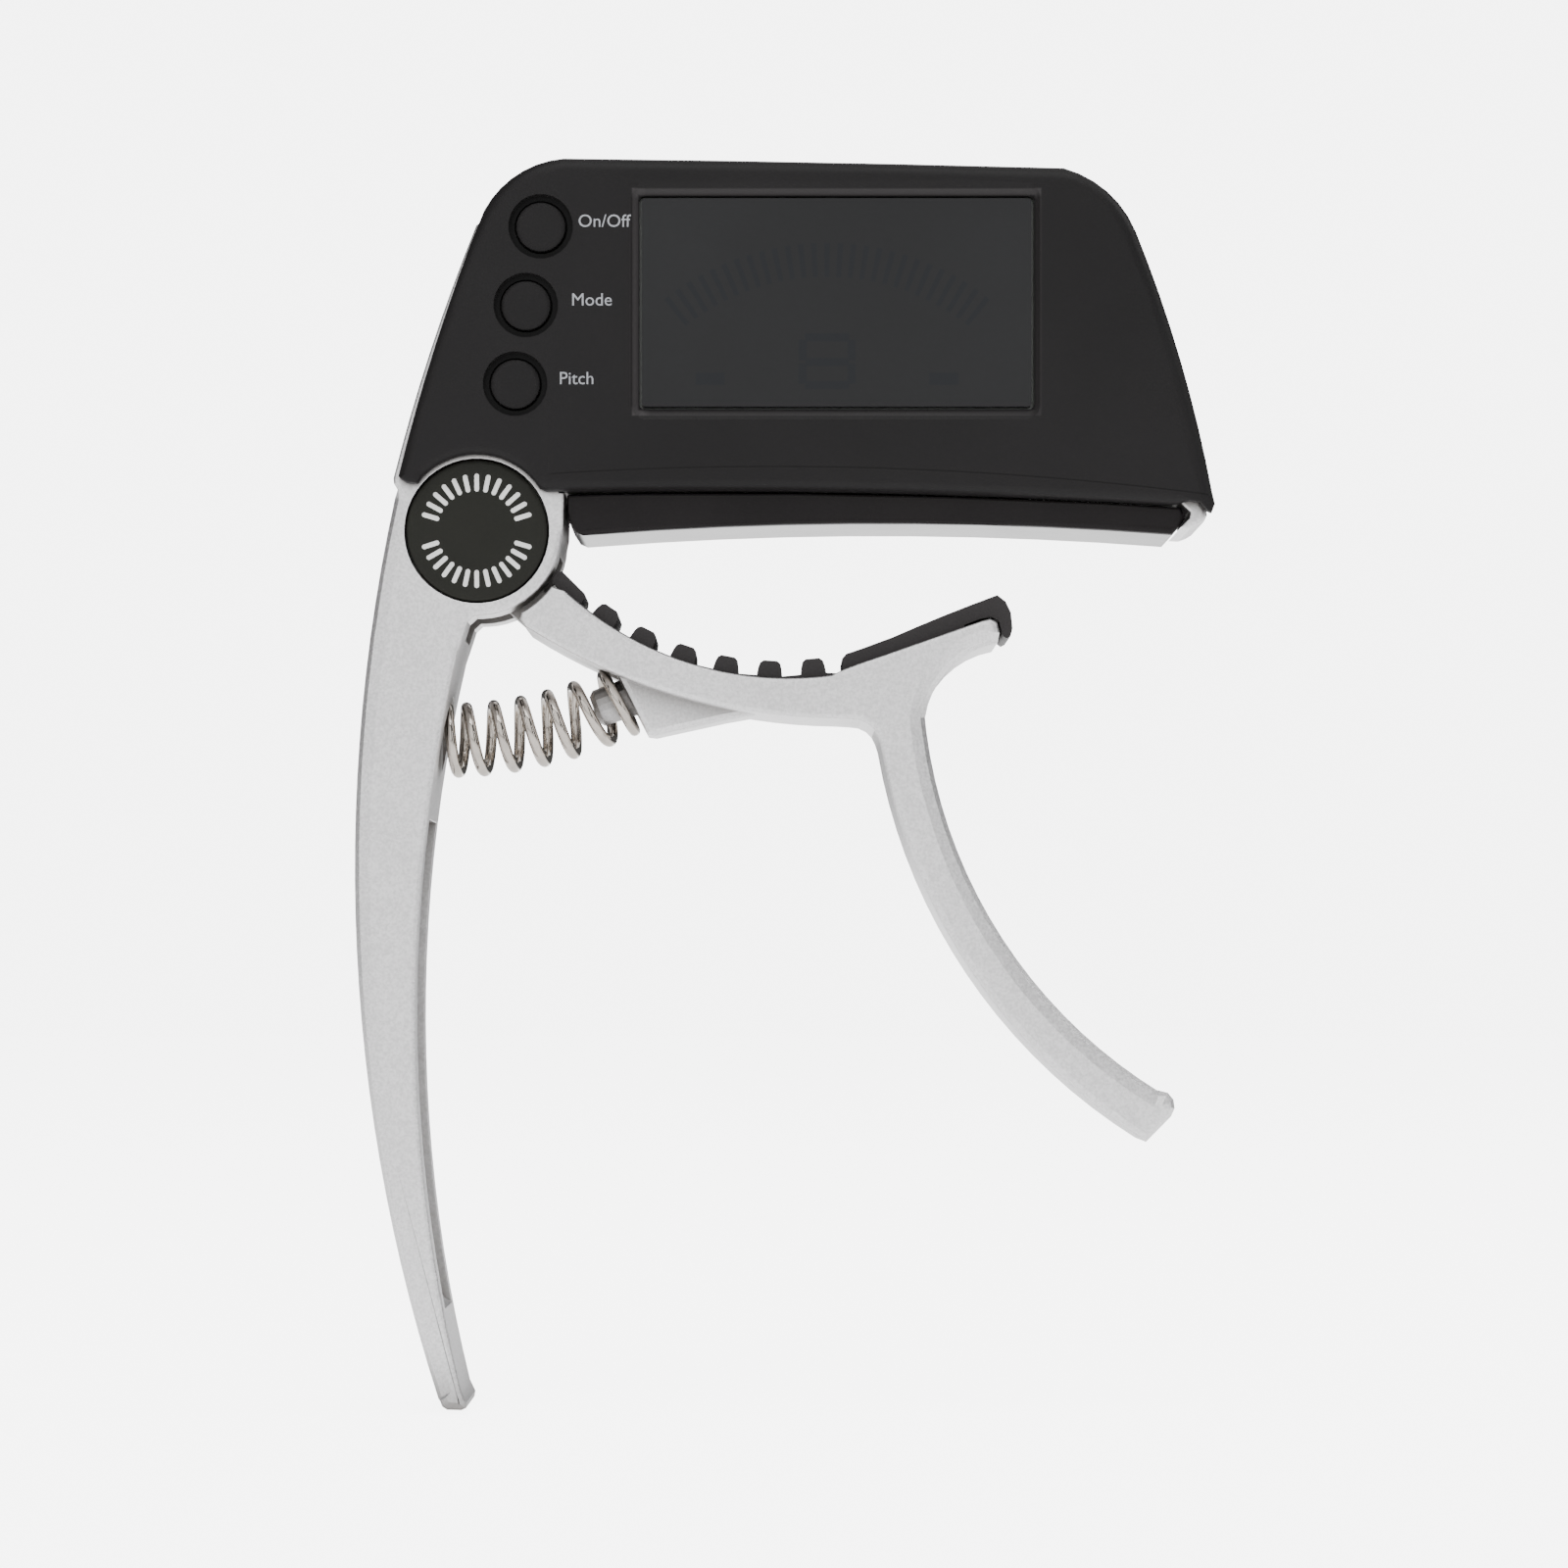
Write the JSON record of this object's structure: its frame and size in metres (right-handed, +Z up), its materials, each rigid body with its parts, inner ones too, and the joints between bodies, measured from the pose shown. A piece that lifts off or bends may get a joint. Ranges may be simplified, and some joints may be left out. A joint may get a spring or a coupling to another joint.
{
  "type": "clip on tuner",
  "caption": "Clamp-on instrument tuner: squeeze-handle spring jaw with rubber pads that grips the neck, and a black head with a display and press buttons",
  "frame": {"origin": "middle of the fixed jaw pad's contact face, halfway through the depth", "axes": "+X from the pivot along the jaws to their open end, +Y from the display through to the back of the head, +Z up from the handles to the head"},
  "size_m": [0.0811, 0.0166, 0.1182],
  "materials": {
    "satin_casting": "satin silver paint on a die casting",
    "black_shell": "fine matt moulding",
    "button_plastic": "matt moulding",
    "cap_plastic": "smooth print-ready disc",
    "jaw_rubber": "soft moulded rubber",
    "spring_steel": "bright nickel plate",
    "pin_steel": "ground",
    "bush_nylon": "natural nylon",
    "display_glass": "smoked clear window",
    "display_cell": "liquid crystal cell",
    "light_guide_acrylic": "clear acrylic",
    "connector_silicone": "striped conductive silicone",
    "board_green": "solder mask",
    "chip_black": "moulded epoxy",
    "can_metal": "pressed can",
    "capacitor_ceramic": "ceramic",
    "pickup_brass": "rolled",
    "cell_steel": "nickel-plated can",
    "contact_nickel": "nickel plate",
    "cradle_plastic": "matt moulding",
    "screw_steel": "zinc plate"
  },
  "bodies": {
    "fixed_frame": {"fixed_lever": "satin_casting", "hinge_pin": "pin_steel", "retaining_ring": "spring_steel", "front_cap": "cap_plastic", "rear_cap": "cap_plastic", "coil_spring": "spring_steel", "fixed_jaw_pad": "jaw_rubber", "front_shell": "black_shell", "rear_shell": "black_shell", "display_lens": "display_glass", "display_panel": "display_cell", "light_guide": "light_guide_acrylic", "display_connector": "connector_silicone", "circuit_board": "board_green", "processor": "chip_black", "amplifier": "chip_black", "crystal": "can_metal", "capacitor_1": "capacitor_ceramic", "capacitor_2": "capacitor_ceramic", "pickup_disc": "pickup_brass", "switch_1": "can_metal", "switch_2": "can_metal", "switch_3": "can_metal", "coin_cell": "cell_steel", "battery_cradle": "cradle_plastic", "minus_contact": "contact_nickel", "plus_contact": "contact_nickel", "case_screw_1": "screw_steel", "case_screw_2": "screw_steel", "case_screw_3": "screw_steel", "case_screw_4": "screw_steel", "board_screw_1": "screw_steel", "board_screw_2": "screw_steel"},
    "squeeze_lever": {"squeeze_lever": "satin_casting", "moving_jaw_pad": "jaw_rubber", "pivot_bush": "bush_nylon"},
    "power_button": {"power_button": "button_plastic"},
    "mode_button": {"mode_button": "button_plastic"},
    "pitch_button": {"pitch_button": "button_plastic"},
    "battery_door": {"battery_door": "black_shell"}
  },
  "joints": [
    {"name": "squeeze", "type": "hinge", "parent": "fixed_frame", "child": "squeeze_lever", "pos_m": [-0.0383, 0, -0.00074], "axis": [0, 1, 0], "range_deg": [0, 22], "stiffness_Nm_per_rad": 2.2, "deforming": ["coil_spring"]},
    {"name": "power_button_press", "type": "slide", "parent": "fixed_frame", "child": "power_button", "axis": [0, 1, 0], "range_m": [0, 0.0004], "stiffness_N_per_m": 800},
    {"name": "mode_button_press", "type": "slide", "parent": "fixed_frame", "child": "mode_button", "axis": [0, 1, 0], "range_m": [0, 0.0004], "stiffness_N_per_m": 800},
    {"name": "pitch_button_press", "type": "slide", "parent": "fixed_frame", "child": "pitch_button", "axis": [0, 1, 0], "range_m": [0, 0.0004], "stiffness_N_per_m": 800},
    {"name": "battery_door_turn", "type": "hinge", "parent": "fixed_frame", "child": "battery_door", "pos_m": [-0.0043, 0.008, 0.02076], "axis": [0, 1, 0], "range_deg": [0, 40]}
  ]
}
